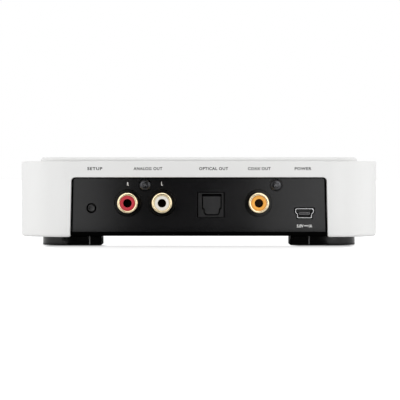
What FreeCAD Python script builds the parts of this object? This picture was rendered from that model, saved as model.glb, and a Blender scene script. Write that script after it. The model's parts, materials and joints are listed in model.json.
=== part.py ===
import FreeCAD, Part
import math
import os

# A wireless audio streamer: a low square box with its sockets on a set-back rear panel.
# Sizes are in millimetres and +Z is up. The sockets face -Y and the feet stand on z = 0.
# The origin lies under the middle of the whole object, the standing ends of the jacks included.

Vector = FreeCAD.Vector

# Body shell, whose width is worked out below from its opening
body_depth = 142.0
corner_radius = 19.0
corner_from_opening = 1.72
shell_height = 30.1
wall = 2.5
rim_edge_radius = 1.2
top_edge_radius = 0.4
moulding_gap = 0.25

# Opening in the shell's rear wall, whose sides stand off from the power socket's middle
opening_side_room = 8.68
opening_flare = 0.5
opening_height = 23.7
opening_corner_radius = 1.6
opening_foot_radius = 0.6
opening_edge_radius = 0.3
least_radius = 0.2
frame_wall = 2.0

# Rear panel, a field that stands proud of its rim
panel_recess = 4.5
panel_thickness = 2.5
panel_step = 1.0
panel_side_gap = 0.8
panel_top_gap = 0.4
panel_rim_overlap = 1.2

# Top cover and the pocket that holds it
cover_inset = 7.65
cover_rise = 1.6
cover_gap = 0.5
cover_edge_radius = 1.4
pocket_depth = 1.2
deck_thickness = 1.8
peg_radius = 1.6
peg_length = 3.2
peg_fit = 0.05
peg_spread = 48.0

# Base plate and the screws that hold it to the shell
base_height = 3.8
base_recess = 0.3
base_thickness = 1.65
base_lip_setback = 0.5
base_screw_inset = 10.5
base_screw_from_foot = 6.0
boss_radius = 3.6
boss_rib = 1.5
cup_wall = 1.5
cup_web = 1.2
head_room = 0.3
head_sink = 0.5

# Feet, the front pair narrower so that the rear pair hides it from behind
foot_inset = 8.6
foot_length = 25.4
rear_left_foot_width = 23.9
rear_right_foot_width = 26.3
front_foot_width = 19.6
foot_inner_radius = 0.5
foot_edge = 0.15
foot_groove_place = 18.3
foot_groove_width = 0.5
foot_groove_depth = 0.35

# Main board and its standoffs
board_beyond_opening = 1.5
board_front_room = 16.6
board_thickness = 1.6
board_corner_radius = 2.0
board_gap = 0.4
standoff_height = 3.85
standoff_radius = 3.0
standoff_inset = 5.0
standoff_from_rear = 24.6
standoff_from_front = 13.4

# Self-tapping screws
screw_shank_radius = 1.45
screw_fit = 0.05
screw_hole_gap = 0.15
pan_head_radius = 2.35
pan_head_height = 1.6
pan_head_edge_radius = 0.95
panel_screw_length = 9.0
base_screw_length = 10.0
board_screw_length = 5.1
slot_width = 0.8
slot_length = 2.6
slot_depth = 0.9

# Phono jacks
jack_reach = 8.5
jack_height = 6.05
jack_pitch = 13.65
analog_x = -21.5
coax_x = 23.7
sleeve_radius = 4.1
sleeve_wall = 1.15
sleeve_edge = 0.35
sleeve_shoulder = 0.25
sleeve_hold = 5.0
insert_recess = 0.6
insert_length = 17.0
collar_radius = 5.25
collar_gap = 0.2
collar_setback = 0.2
jack_bore_radius = 1.6
jack_bore_depth = 10.0
contact_wall = 0.35
contact_setback = 4.5
contact_tail_radius = 0.5
contact_tail_reach = 1.2
jack_fit = 0.04
jack_side = 6.9
jack_housing_height = 12.6
jack_housing_length = 10.0
panel_screw_height = 13.2
panel_screw_boss_radius = 3.5
panel_screw_boss_length = 9.0
panel_screw_sink = 0.4
panel_screw_rim = 0.3
coax_screw_offset = 7.0

# Optical socket, its flap and pin
optical_x = 5.1
optical_window_width = 11.0
optical_window_height = 10.1
optical_window_low = 0.25
nose_offset = -0.35
nose_width = 10.1
nose_height = 9.65
nose_low = 0.45
nose_setback = 0.3
optical_side = 6.3
optical_height = 10.6
optical_length = 12.0
flap_half_width = 3.5
flap_low_half_width = 2.85
flap_tip_half_width = 2.2
flap_top = 8.95
flap_step = 4.05
flap_chamfer = 2.35
flap_low = 1.5
flap_step_drop = 0.3
flap_corner_radius = 0.3
flap_step_radius = 0.2
flap_thickness = 0.8
flap_setback = 0.1
flap_gap = 0.42
flap_top_gap = 0.7
barrel_radius = 0.85
pin_radius = 0.4
pin_running_gap = 0.05
pin_press_gap = 0.02
pin_hold = 0.3
spring_wire_radius = 0.1
spring_gap = 0.08
spring_turn_gap = 0.02
spring_turns = 2
mouth_length = 1.4
cavity_length = 11.0
cavity_side_gap = 0.6
cavity_top_gap = 0.2
cavity_low = 1.1
ferrule_radius = 1.15
ferrule_length = 1.2
emitter_size = 5.0
emitter_thickness = 2.0
emitter_gap = 0.05
emitter_lens_radius = 1.0
emitter_lens_length = 0.8

# Mini-USB socket
usb_from_coax = 18.3
usb_half_width = 3.7
usb_low_half_width = 2.94
usb_height = 3.86
usb_shoulder = 2.3
usb_corner_radius = 0.6
usb_jog_radius = 0.5
usb_low_radius = 0.5
usb_wall = 0.27
usb_length = 9.2
usb_setback = 0.1
usb_window_gap = 0.4
tongue_half_width = 2.3
tongue_low = 1.25
tongue_thickness = 1.15
tongue_setback = 0.9
tongue_root = 2.6
usb_contact_count = 5
usb_contact_pitch = 0.8
usb_contact_width = 0.4
usb_contact_thickness = 0.15
usb_contact_setback = 0.7

# Setup button and its switch
button_from_jack = 14.525
button_height = 4.0
button_radius = 1.48
button_hole_radius = 2.0
button_setback = 0.4
button_travel = 0.5
button_edge = 0.2
button_fit = 0.08
flange_radius = 2.2
flange_thickness = 0.6
flange_gap = 0.05
switch_half_width = 3.2
switch_height = 7.2
switch_setback = 0.8
switch_front_wall = 0.8
switch_back_wall = 1.0
switch_chamber_gap = 0.2
dome_radius = 2.1
dome_crown = 0.5
dome_thickness = 0.1
dome_tip_radius = 0.8
dome_gap = 0.15

# Front status light
led_width = 3.0
led_length = 2.2
led_height = 3.4
led_lens_radius = 1.3
led_lens_length = 0.8
led_lens_edge = 0.4
light_height = 2.0
pipe_radius = 1.25
pipe_fit = 0.05
pipe_gap = 0.3
pipe_flange_radius = 2.8
pipe_flange_thickness = 1.5

# Parts on the main board: place across and from the board's rear edge, and size
processor_place = (5.0, 50.6)
processor_size = (17.0, 17.0, 1.4)
memory_place = (-18.0, 50.6)
memory_size = (8.0, 13.0, 1.1)
dac_place = (-21.5, 25.6)
dac_size = (6.2, 10.0, 1.3)
crystal_place = (21.0, 44.6)
crystal_size = (5.0, 3.2, 1.3)
inductor_place = (36.0, 38.6)
inductor_size = (7.3, 7.3, 3.5)
wifi_place = (18.0, 88.0)
wifi_size = (24.0, 30.0, 1.0)
shield_size = (18.0, 16.0, 2.4)
shield_wall = 0.3
shield_offset = 5.0
capacitor_radius = 3.15
capacitor_height = 7.7
capacitor_row_place = 36.6
capacitor_row = (-38.0, -29.0, -14.0, -5.0)
supply_capacitor_place = (27.0, 26.6)
supply_capacitor_radius = 5.0
supply_capacitor_height = 12.5
capacitor_base = 0.9
capacitor_edge = 0.4
lead_width = 0.4
lead_reach = 1.0
lead_thickness = 0.2
lead_pitch = 1.27

# Heights worked out from the sizes above
rim_z = base_height - base_recess
shell_top_z = rim_z + shell_height
pocket_z = shell_top_z - pocket_depth
deck_low_z = pocket_z - deck_thickness
cover_top_z = shell_top_z + cover_rise
opening_top_z = rim_z + opening_height
base_top_z = base_height + base_thickness
board_low_z = base_top_z + standoff_height
board_top_z = board_low_z + board_thickness
jack_z = board_top_z + jack_height
panel_screw_z = board_top_z + panel_screw_height
button_z = board_top_z + button_height
light_z = board_top_z + light_height
optical_axis_z = board_top_z + (cavity_low + flap_top) / 2

# Depths behind the shell's rear face, worked out from the sizes above
frame_depth = panel_recess + panel_step
panel_back = panel_recess + panel_thickness
board_rear = panel_back + board_gap
board_front = body_depth - board_front_room
jack_tip = panel_recess - jack_reach
collar_face = panel_recess + collar_setback
insert_tip = jack_tip + insert_recess
sleeve_end = panel_back + sleeve_hold
contact_start = insert_tip + contact_setback
contact_end = insert_tip + jack_bore_depth + contact_wall
usb_face = panel_recess + usb_setback
usb_back = usb_face + usb_length
nose_face = panel_recess + nose_setback
flap_face = nose_face + flap_setback
hinge_depth = flap_face + barrel_radius
mouth_end = nose_face + mouth_length
cavity_end = nose_face + cavity_length
emitter_face = cavity_end + ferrule_length
optical_back = panel_back + optical_length
switch_face = panel_back + switch_setback
chamber_face = switch_face + switch_front_wall
flange_face = chamber_face + flange_gap
flange_back = flange_face + flange_thickness
dome_tip = flange_back + button_travel + dome_gap
chamber_end = dome_tip + dome_crown + dome_thickness

# The shell's rear face, placed so that the whole object is centred on the origin
jack_proud = max(0.0, -jack_tip)
rear_y = (jack_proud - body_depth) / 2

# Places from side to side, worked out from the sockets outwards
button_x = analog_x - jack_pitch / 2 - button_from_jack
usb_x = coax_x + usb_from_coax
nose_x = optical_x + nose_offset
opening_half_width = usb_x + opening_side_room
board_half = opening_half_width + board_beyond_opening
body_width = 2 * (opening_half_width + corner_from_opening + corner_radius)

# The flap's hinge line
hinge_z = board_top_z + flap_top - barrel_radius

# The flap's return spring, wound clear of the pin
spring_pitch = 2 * spring_wire_radius + spring_turn_gap
spring_coil_radius = pin_radius + spring_gap + spring_wire_radius
spring_length = (spring_turns + 1) * spring_pitch
spring_room_half = flap_half_width + spring_length + 2 * spring_gap
pin_half_length = spring_room_half + pin_hold

# How much the rear opening widens for each millimetre down
opening_slope = opening_flare / opening_height

# How far a cutting shape runs past what it cuts, and how flat an edge is that counts as in a plane
overrun = wall
plane_tolerance = 1e-4

# Radii shared by a screw or plug and what holds it
shank_hole_radius = screw_shank_radius + screw_fit
clear_hole_radius = screw_shank_radius + screw_hole_gap
counterbore_radius = pan_head_radius + head_room
counterbore_depth = pan_head_height + head_sink
cup_radius = counterbore_radius + cup_wall
cup_top_z = base_height + counterbore_depth + cup_web
sleeve_tail_radius = sleeve_radius - sleeve_shoulder
insert_radius = sleeve_radius - sleeve_wall
contact_radius = jack_bore_radius + contact_wall


def inward(depth):
    """The y of a plane at a depth behind the shell's rear face."""
    return rear_y + depth


def rounding(start, corner, end):
    """The arc that leaves start towards a corner and comes to end, as far past the corner."""
    half_angle = (start - corner).getAngle(end - corner) / 2
    radius = start.distanceToPoint(corner) * math.tan(half_angle)
    bisector = ((start + end) / 2 - corner).normalize()
    middle = corner + bisector * (radius / math.sin(half_angle) - radius)
    return Part.Arc(start, middle, end).toShape()


def outline(corners):
    """A closed wire of straight runs through (point, radius) corners, each rounded by an arc."""
    tiny = 1e-6
    turns = []
    for index, (corner, radius) in enumerate(corners):
        to_last = (corners[index - 1][0] - corner).normalize()
        to_next = (corners[(index + 1) % len(corners)][0] - corner).normalize()
        reach = radius / math.tan(to_last.getAngle(to_next) / 2)
        turns.append((corner + to_last * reach, corner, corner + to_next * reach))
    edges = []
    for index, (start, corner, end) in enumerate(turns):
        last_end = turns[index - 1][2]
        if last_end.distanceToPoint(start) > tiny:
            edges.append(Part.LineSegment(last_end, start).toShape())
        if start.distanceToPoint(end) > tiny:
            edges.append(rounding(start, corner, end))
    return Part.Wire(edges)


def coil(radius, pitch, turns):
    """An upright coil's middle line, each quarter turn as two arcs that run on smoothly."""
    rise = pitch / (2 * math.pi)
    edges = []
    for quarter in range(4 * turns):
        places, headings = [], []
        for angle in (quarter * math.pi / 2, (quarter + 1) * math.pi / 2):
            cosine, sine = math.cos(angle), math.sin(angle)
            places.append(Vector(radius * cosine, radius * sine, rise * angle))
            headings.append(Vector(-radius * sine, radius * cosine, rise).normalize())
        chord = places[1] - places[0]
        along = chord.dot(headings[0] + headings[1])
        bend = 2 * (1 - headings[0].dot(headings[1]))
        reach = (math.sqrt(along * along + bend * chord.dot(chord)) - along) / bend
        first_corner = places[0] + headings[0] * reach
        second_corner = places[1] - headings[1] * reach
        middle = (first_corner + second_corner) / 2
        edges.append(rounding(places[0], first_corner, middle))
        edges.append(rounding(middle, second_corner, places[1]))
    return Part.Wire(edges)


def block(x_low, x_high, depth_low, depth_high, z_low, z_high):
    """A square-edged block between two planes along each axis."""
    corner = Vector(x_low, inward(depth_low), z_low)
    return Part.makeBox(x_high - x_low, depth_high - depth_low, z_high - z_low, corner)


def plate(x_low, x_high, depth_low, depth_high, radius, z_low, z_high):
    """A level plate with rounded corners in plan."""
    places = [(x_low, depth_low), (x_high, depth_low), (x_high, depth_high), (x_low, depth_high)]
    corners = [(Vector(x, inward(depth), z_low), radius) for x, depth in places]
    return Part.Face(outline(corners)).extrude(Vector(0, 0, z_high - z_low))


def body_plate(inset, z_low, z_high):
    """A level plate that follows the body's outline, drawn in by an inset."""
    half = body_width / 2 - inset
    return plate(-half, half, inset, body_depth - inset, corner_radius - inset, z_low, z_high)


def upright(profile, depth_low, depth_high):
    """A solid of one section seen from behind: (x, z, radius) corners run from depth to depth."""
    corners = [(Vector(x, inward(depth_low), z), radius) for x, z, radius in profile]
    return Part.Face(outline(corners)).extrude(Vector(0, depth_high - depth_low, 0))


def rod_x(depth, z, radius, x_low, x_high):
    """A round rod from side to side."""
    return Part.makeCylinder(radius, x_high - x_low, Vector(x_low, inward(depth), z), Vector(1, 0, 0))


def rod_y(x, z, radius, depth_low, depth_high):
    """A round rod that runs into the body."""
    start = Vector(x, inward(depth_low), z)
    return Part.makeCylinder(radius, depth_high - depth_low, start, Vector(0, 1, 0))


def rod_z(x, depth, radius, z_low, z_high):
    """An upright round rod."""
    return Part.makeCylinder(radius, z_high - z_low, Vector(x, inward(depth), z_low))


def level_edges(shape, z):
    """The edges of a shape that lie in one level plane."""
    boxes = [(edge, edge.BoundBox) for edge in shape.Edges]
    return [edge for edge, box in boxes if abs(box.ZMin - z) + abs(box.ZMax - z) < plane_tolerance]


def facing_edges(shape, depth):
    """The edges of a shape that lie in one plane parallel to the rear face."""
    y = inward(depth)
    boxes = [(edge, edge.BoundBox) for edge in shape.Edges]
    return [edge for edge, box in boxes if abs(box.YMin - y) + abs(box.YMax - y) < plane_tolerance]


def mirrored(right, middle_x):
    """A closed profile from its right half: (x, z, radius) corners given outwards from a middle."""
    left = [(-x, z, radius) for x, z, radius in reversed(right)]
    return [(middle_x + x, z, radius) for x, z, radius in right + left]


def opening_profile(side_grow, top_grow, low_z):
    """The rear opening's section, wider at the rim, grown by its sides and top."""
    top_half = opening_half_width + side_grow
    low_half = top_half + opening_slope * (opening_top_z - low_z)
    radius = max(least_radius, opening_corner_radius + side_grow)
    return mirrored([(top_half, opening_top_z + top_grow, radius), (low_half, low_z, 0)], 0)


def opening_cutter():
    """The space of the rear opening, which rounds off the shell's inner corners at the rim."""
    low_half = opening_half_width + opening_flare
    outer_half = low_half + 2 * opening_foot_radius
    right = [
        (opening_half_width, opening_top_z, opening_corner_radius),
        (low_half, rim_z, opening_foot_radius),
        (outer_half, rim_z, 0),
        (outer_half, rim_z - overrun, 0),
    ]
    return upright(mirrored(right, 0), -overrun, frame_depth + overrun)


def boss_places():
    """The four places where a screw joins the base plate to the shell, each beside a foot."""
    screw_x = body_width / 2 - base_screw_inset
    from_end = foot_inset + foot_length + base_screw_from_foot
    return [(x, depth) for x in (-screw_x, screw_x) for depth in (from_end, body_depth - from_end)]


def standoff_places():
    """The four places where a screw joins the main board to the base plate."""
    standoff_x = board_half - standoff_inset
    depths = (board_rear + standoff_from_rear, board_front - standoff_from_front)
    return [(x, depth) for x in (-standoff_x, standoff_x) for depth in depths]


def peg_places():
    """The four places where the top cover is pegged into the shell."""
    middle = body_depth / 2
    return [(x, middle + y) for x in (-peg_spread, peg_spread) for y in (-peg_spread, peg_spread)]


def make_shell():
    """The white moulded body: walls, deck, frame round the rear opening and screw bosses."""
    body = body_plate(0, rim_z, shell_top_z)
    body = body.makeFillet(rim_edge_radius, level_edges(body, rim_z))
    body = body.makeFillet(top_edge_radius, level_edges(body, shell_top_z))
    body = body.cut(body_plate(wall, rim_z - overrun, deck_low_z))
    added = [upright(opening_profile(frame_wall, frame_wall, rim_z), wall / 2, frame_depth)]
    inner_x = body_width / 2 - wall / 2
    for x, depth in boss_places():
        added.append(rod_z(x, depth, boss_radius, cup_top_z, deck_low_z + deck_thickness / 2))
        rib_x = sorted((x, math.copysign(inner_x, x)))
        rib_depth = (depth - boss_rib / 2, depth + boss_rib / 2)
        added.append(block(*rib_x, *rib_depth, cup_top_z, deck_low_z + deck_thickness / 2))
    body = body.fuse(added)
    removed = [opening_cutter(), body_plate(cover_inset - cover_gap, pocket_z, shell_top_z + overrun)]
    for x, depth in boss_places():
        hole_z = (cup_top_z - overrun, cup_top_z + base_screw_length)
        removed.append(rod_z(x, depth, shank_hole_radius, *hole_z))
    for x, depth in peg_places():
        removed.append(rod_z(x, depth, peg_radius + peg_fit, deck_low_z - overrun, pocket_z + overrun))
    light_hole = (body_depth - wall - overrun, body_depth + overrun)
    removed.append(rod_y(0, light_z, pipe_radius + pipe_fit, *light_hole))
    body = body.cut(removed).removeSplitter()
    reach = opening_half_width + opening_flare + opening_edge_radius
    boxes = [(edge, edge.BoundBox) for edge in facing_edges(body, 0)]
    edges = [edge for edge, box in boxes if max(box.XMax, -box.XMin) < reach]
    return body.makeFillet(opening_edge_radius, edges)


def make_top_cover():
    """The raised white cover, let into the pocket on four pegs."""
    cover = body_plate(cover_inset, pocket_z, cover_top_z)
    cover = cover.makeFillet(cover_edge_radius, level_edges(cover, cover_top_z))
    peg_z = (pocket_z - peg_length, pocket_z + pocket_depth)
    pegs = [rod_z(x, depth, peg_radius, *peg_z) for x, depth in peg_places()]
    return cover.fuse(pegs).removeSplitter()


def make_base_plate():
    """The black floor: it closes the shell from below and carries the board on standoffs."""
    base = body_plate(wall + moulding_gap, base_height, base_top_z)
    low_half = opening_half_width + opening_slope * (opening_top_z - base_height)
    frame_half = low_half + frame_wall + moulding_gap
    notch_end = frame_depth + moulding_gap
    base = base.cut(block(-frame_half, frame_half, 0, notch_end, rim_z, base_top_z + overrun))
    lip_half = opening_half_width - moulding_gap
    lip_face = panel_recess + base_lip_setback
    added = [block(-lip_half, lip_half, lip_face, notch_end + overrun, base_height, base_top_z)]
    removed = []
    counterbore_z = (base_height - overrun, base_height + counterbore_depth)
    for x, depth in boss_places():
        added.append(rod_z(x, depth, cup_radius, base_height, cup_top_z))
        removed.append(rod_z(x, depth, counterbore_radius, *counterbore_z))
        removed.append(rod_z(x, depth, clear_hole_radius, base_height, cup_top_z + overrun))
    for x, depth in standoff_places():
        added.append(rod_z(x, depth, standoff_radius, base_height, board_low_z))
        removed.append(rod_z(x, depth, shank_hole_radius, base_top_z, board_low_z + overrun))
    return base.fuse(added).cut(removed).removeSplitter()


def make_rear_panel():
    """The black panel: a raised field in the opening, a rim behind its frame, and the cut-outs."""
    field = upright(opening_profile(-panel_side_gap, -panel_top_gap, base_top_z), panel_recess, panel_back)
    rim = upright(opening_profile(panel_rim_overlap, panel_rim_overlap, base_top_z), frame_depth, panel_back)
    through = (panel_recess - overrun, panel_back + overrun)
    removed = [rod_y(button_x, button_z, button_hole_radius, *through)]
    for x in jack_places():
        removed.append(rod_y(x, jack_z, collar_radius + collar_gap, *through))
    sink = (panel_recess - overrun, panel_recess + panel_screw_sink)
    for x in panel_screw_places():
        removed.append(rod_y(x, panel_screw_z, clear_hole_radius, *through))
        removed.append(rod_y(x, panel_screw_z, pan_head_radius + panel_screw_rim, *sink))
    half = optical_window_width / 2
    low_z = board_top_z + optical_window_low
    removed.append(block(nose_x - half, nose_x + half, *through, low_z, low_z + optical_window_height))
    removed.append(upright(usb_profile(usb_window_gap), *through))
    return field.fuse(rim).cut(removed).removeSplitter()


def jack_places():
    """The x of each phono jack: the red and white pair, then the orange one."""
    return [analog_x - jack_pitch / 2, analog_x + jack_pitch / 2, coax_x]


def panel_screw_places():
    """The x of the two screws that hold the panel to the jack housings."""
    return [analog_x, coax_x + coax_screw_offset]


def pan_screw(length):
    """A pan-head screw with a cross recess: its head points up and it bears on z = 0."""
    head = Part.makeCylinder(pan_head_radius, pan_head_height)
    head = head.makeFillet(pan_head_edge_radius, level_edges(head, pan_head_height))
    shank = Part.makeCylinder(screw_shank_radius, length, Vector(0, 0, -length))
    slots = []
    for long_x, long_y in ((slot_length, slot_width), (slot_width, slot_length)):
        corner = Vector(-long_x / 2, -long_y / 2, pan_head_height - slot_depth)
        slots.append(Part.makeBox(long_x, long_y, slot_depth * 2, corner))
    return head.fuse(shank).cut(slots).removeSplitter()


def make_panel_screws():
    """Two screws through the panel, their heads towards the rear."""
    screws = []
    for x in panel_screw_places():
        screw = pan_screw(panel_screw_length)
        screw.rotate(Vector(0, 0, 0), Vector(1, 0, 0), 90)
        screw.translate(Vector(x, inward(panel_recess + panel_screw_sink), panel_screw_z))
        screws.append(screw)
    return screws


def make_base_screws():
    """Four screws up through the base plate into the shell's bosses."""
    screws = []
    for x, depth in boss_places():
        screw = pan_screw(base_screw_length)
        screw.rotate(Vector(0, 0, 0), Vector(1, 0, 0), 180)
        screw.translate(Vector(x, inward(depth), base_height + counterbore_depth))
        screws.append(screw)
    return screws


def make_board_screws():
    """Four screws down through the main board into the standoffs."""
    screws = []
    for x, depth in standoff_places():
        screw = pan_screw(board_screw_length)
        screw.translate(Vector(x, inward(depth), board_top_z))
        screws.append(screw)
    return screws


def make_foot(end, side, width):
    """A corner foot: it follows the body's corner, and a fine groove crosses its two outer faces."""
    half = body_width / 2 - foot_inset
    inner = half - width
    near = foot_inset
    places = [
        (half, near, corner_radius - foot_inset),
        (half, near + foot_length, foot_inner_radius),
        (inner, near + foot_length, foot_inner_radius),
        (inner, near, foot_inner_radius),
    ]
    corners = [(Vector(x, inward(depth), 0), radius) for x, depth, radius in places]
    foot = Part.Face(outline(corners)).extrude(Vector(0, 0, base_height))
    foot = foot.makeChamfer(foot_edge, level_edges(foot, 0))
    across = sorted(half - foot_groove_place + side * foot_groove_width / 2 for side in (-1, 1))
    along = sorted(near + foot_groove_place + side * foot_groove_width / 2 for side in (-1, 1))
    foot = foot.cut([
        block(*across, near - overrun, near + foot_groove_depth, 0, base_height),
        block(half - foot_groove_depth, half + overrun, *along, 0, base_height),
    ])
    if side == "left":
        foot = foot.mirror(Vector(0, 0, 0), Vector(1, 0, 0))
    if end == "front":
        foot = foot.mirror(Vector(0, inward(body_depth / 2), 0), Vector(0, 1, 0))
    return foot


def housing_block(x_low, x_high, screw_x, jacks):
    """A moulded jack housing on the board, with a collar for each jack and a boss for its screw."""
    housing_end = panel_back + jack_housing_length
    boss_end = panel_back + panel_screw_boss_length
    high_z = board_top_z + jack_housing_height
    housing = block(x_low, x_high, panel_back, housing_end, board_top_z, high_z)
    boss_x = (screw_x - panel_screw_boss_radius, screw_x + panel_screw_boss_radius)
    boss_low = high_z - panel_screw_boss_radius
    added = [
        rod_y(screw_x, panel_screw_z, panel_screw_boss_radius, panel_back, boss_end),
        block(*boss_x, panel_back, boss_end, boss_low, panel_screw_z),
    ]
    removed = [rod_y(screw_x, panel_screw_z, shank_hole_radius, panel_back - overrun, boss_end)]
    for x in jacks:
        added.append(rod_y(x, jack_z, collar_radius, collar_face, panel_back + overrun))
        removed.append(rod_y(x, jack_z, sleeve_tail_radius + jack_fit, jack_tip, sleeve_end))
        removed.append(rod_y(x, jack_z, insert_radius + jack_fit, jack_tip, housing_end + overrun))
    return housing.fuse(added).cut(removed).removeSplitter()


def make_analog_jack_housing():
    """The body of the red and white pair."""
    side = jack_pitch / 2 + jack_side
    return housing_block(analog_x - side, analog_x + side, analog_x, jack_places()[:2])


def make_coax_jack_housing():
    """The body of the orange jack, with its screw boss beside it."""
    screw_x = coax_x + coax_screw_offset
    return housing_block(coax_x - jack_side, coax_x + jack_side, screw_x, jack_places()[2:])


def make_jack_sleeve(x):
    """The turned metal sleeve that a plug's outer ring grips, with a shoulder against its collar."""
    sleeve = rod_y(x, jack_z, sleeve_radius, jack_tip, collar_face)
    sleeve = sleeve.makeFillet(sleeve_edge, facing_edges(sleeve, jack_tip))
    tail = rod_y(x, jack_z, sleeve_tail_radius, jack_tip + sleeve_wall, sleeve_end)
    bore_radius = insert_radius + jack_fit
    bore = rod_y(x, jack_z, bore_radius, jack_tip - overrun, sleeve_end + overrun)
    tip = Vector(x, inward(jack_tip), jack_z)
    mouth = Part.makeCone(bore_radius + sleeve_edge, bore_radius, sleeve_edge, tip, Vector(0, 1, 0))
    return sleeve.fuse(tail).cut([bore, mouth])


def make_jack_insert(x):
    """The coloured insulator inside the sleeve, bored for the plug's pin and the contact."""
    insert_end = insert_tip + insert_length
    insert = rod_y(x, jack_z, insert_radius, insert_tip, insert_end)
    removed = [
        rod_y(x, jack_z, jack_bore_radius, insert_tip - overrun, contact_end),
        rod_y(x, jack_z, contact_radius + jack_fit, contact_start, contact_end),
        rod_y(x, jack_z, contact_tail_radius + jack_fit, contact_start, insert_end + overrun),
    ]
    return insert.cut(removed)


def make_jack_contact(x):
    """The tubular centre contact, with a tail that turns down to the board."""
    bore_end = insert_tip + jack_bore_depth
    tail_end = panel_back + jack_housing_length + contact_tail_reach
    tube = rod_y(x, jack_z, contact_radius, contact_start, contact_end)
    tail = rod_y(x, jack_z, contact_tail_radius, bore_end, tail_end)
    half = contact_tail_radius
    lug = block(x - half, x + half, tail_end - half, tail_end, board_top_z, jack_z + half)
    bore = rod_y(x, jack_z, jack_bore_radius, contact_start - overrun, bore_end)
    return tube.fuse([tail, lug]).cut(bore).removeSplitter()


def flap_profile(grow, grow_top):
    """The flap's section seen from behind, grown by a gap, and by another at its top: narrower below."""
    low_z = board_top_z
    step_z = low_z + flap_step - grow
    right = [
        (flap_half_width + grow, low_z + flap_top + grow_top, flap_corner_radius),
        (flap_half_width + grow, step_z, flap_step_radius),
        (flap_low_half_width + grow, step_z - flap_step_drop, flap_step_radius),
        (flap_low_half_width + grow, low_z + flap_chamfer - grow / 2, flap_corner_radius),
        (flap_tip_half_width + grow / 2, low_z + flap_low - grow, flap_corner_radius),
    ]
    return mirrored(right, optical_x)


def make_optical_housing():
    """The square optical transmitter body, with the flap's mouth, the plug's cavity and pin holes."""
    def side_to_side(half):
        return optical_x - half, optical_x + half

    low_z = board_top_z + nose_low
    nose_side = nose_width / 2
    nose_depths = (nose_face, panel_back + overrun)
    nose = block(nose_x - nose_side, nose_x + nose_side, *nose_depths, low_z, low_z + nose_height)
    body_x = side_to_side(optical_side)
    body = block(*body_x, panel_back, optical_back, board_top_z, board_top_z + optical_height)
    cavity_half = flap_half_width + cavity_side_gap
    cavity_z = (board_top_z + cavity_low, board_top_z + flap_top + cavity_top_gap)
    pin_x = side_to_side(pin_half_length)
    spring_x = (optical_x + flap_half_width, optical_x + spring_room_half)
    spring_room = spring_coil_radius + spring_wire_radius + spring_gap
    pocket_half = emitter_size / 2 + emitter_gap
    pocket_z = (optical_axis_z - pocket_half, optical_axis_z + pocket_half)
    removed = [
        upright(flap_profile(flap_gap, flap_top_gap), nose_face - overrun, mouth_end),
        block(*side_to_side(cavity_half), mouth_end, cavity_end, *cavity_z),
        rod_x(hinge_depth, hinge_z, pin_radius + pin_press_gap, *pin_x),
        rod_x(hinge_depth, hinge_z, spring_room, *spring_x),
        rod_y(optical_x, optical_axis_z, ferrule_radius, cavity_end - overrun, emitter_face + overrun),
        block(*side_to_side(pocket_half), emitter_face, optical_back + overrun, *pocket_z),
    ]
    return nose.fuse(body).cut(removed).removeSplitter()


def make_optical_emitter():
    """The light source behind the plug's cavity."""
    half = emitter_size / 2
    face = emitter_face + emitter_gap
    back = face + emitter_thickness
    middle_z = optical_axis_z
    body = block(optical_x - half, optical_x + half, face, back, middle_z - half, middle_z + half)
    lens = rod_y(optical_x, middle_z, emitter_lens_radius, face - emitter_lens_length, back)
    return body.fuse(lens).removeSplitter()


def make_optical_flap():
    """The flap that closes the socket, hung from a barrel along its top edge."""
    leaf = upright(flap_profile(0, 0), flap_face, flap_face + flap_thickness)
    flap_x = (optical_x - flap_half_width, optical_x + flap_half_width)
    barrel = rod_x(hinge_depth, hinge_z, barrel_radius, *flap_x)
    above = block(*flap_x, flap_face - overrun, hinge_depth, hinge_z, hinge_z + overrun)
    bore = rod_x(hinge_depth, hinge_z, pin_radius + pin_running_gap, *flap_x)
    return leaf.cut(above).fuse(barrel).cut(bore).removeSplitter()


def make_flap_pin():
    """The hinge pin, held in the housing's two side walls."""
    ends = (optical_x - pin_half_length, optical_x + pin_half_length)
    return rod_x(hinge_depth, hinge_z, pin_radius, *ends)


def make_flap_spring():
    """The flap's return spring: a few turns of wire round the pin, in a pocket of the side wall."""
    path = coil(spring_coil_radius, spring_pitch, spring_turns)
    middle = Vector(spring_coil_radius, 0, 0)
    heading = Vector(0, spring_coil_radius, spring_pitch / (2 * math.pi))
    section = Part.Wire(Part.makeCircle(spring_wire_radius, middle, heading))
    spring = path.makePipeShell([section], True, False)
    spring.rotate(Vector(0, 0, 0), Vector(0, 1, 0), 90)
    start = optical_x + flap_half_width + spring_gap + spring_pitch / 2
    spring.translate(Vector(start, inward(hinge_depth), hinge_z))
    return spring


def usb_profile(grow):
    """The socket's section seen from behind, grown by a gap: a jog at 45 degrees narrows its foot."""
    low_z = board_top_z
    jog = usb_half_width - usb_low_half_width
    jog_z = low_z + usb_shoulder - grow * math.tan(math.pi / 8)
    right = [
        (usb_half_width + grow, low_z + usb_height + grow, usb_corner_radius),
        (usb_half_width + grow, jog_z, usb_jog_radius),
        (usb_low_half_width + grow, jog_z - jog, usb_jog_radius),
        (usb_low_half_width + grow, low_z - grow, usb_low_radius),
    ]
    return mirrored(right, usb_x)


def make_usb_shell():
    """The folded metal shell of the mini-USB socket."""
    outer = upright(usb_profile(0), usb_face, usb_back)
    return outer.cut(upright(usb_profile(-usb_wall), usb_face - overrun, usb_back + overrun))


def make_usb_tongue():
    """The socket's insulator: a block that fills the back of the shell, and its tongue."""
    low_z = board_top_z + tongue_low
    tongue_x = (usb_x - tongue_half_width, usb_x + tongue_half_width)
    tongue = block(*tongue_x, usb_face + tongue_setback, usb_back, low_z, low_z + tongue_thickness)
    root = upright(usb_profile(-usb_wall), usb_back - tongue_root, usb_back)
    return tongue.fuse(root).removeSplitter()


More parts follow.
